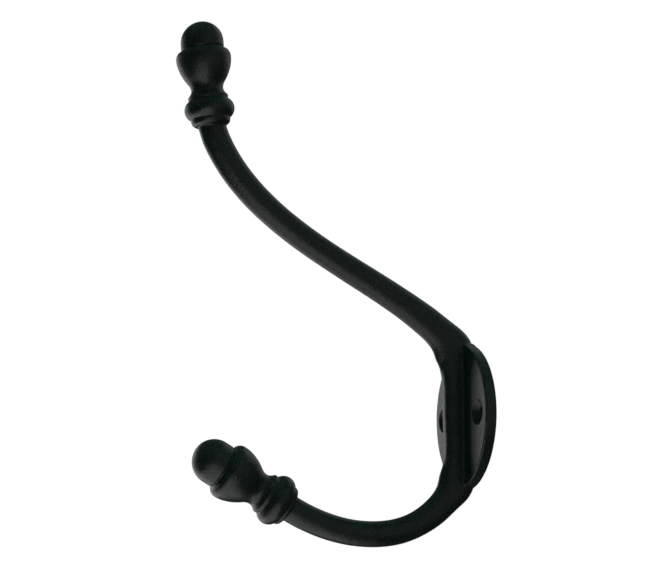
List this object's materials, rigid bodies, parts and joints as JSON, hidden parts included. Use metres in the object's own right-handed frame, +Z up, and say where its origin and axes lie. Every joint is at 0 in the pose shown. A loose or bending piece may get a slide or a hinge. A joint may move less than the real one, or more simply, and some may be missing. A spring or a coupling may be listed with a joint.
{
  "type": "hat and coat hook",
  "caption": "Cast iron hat and coat hook: pointed oval screw plate, long curved upper arm for a hat and short upswept lower arm for a coat, ending in turned acorns.",
  "frame": {"origin": "on the wall, at the back face of the screw plate, midway between its screw holes", "axes": "+X along the line of the screw holes, -Y out from the wall along the screws, +Z up as the hook hangs"},
  "size_m": [0.0388, 0.0965, 0.1596],
  "materials": {
    "iron": "satin black paint"
  },
  "bodies": {
    "root": {"hook": "iron"}
  },
  "joints": []
}
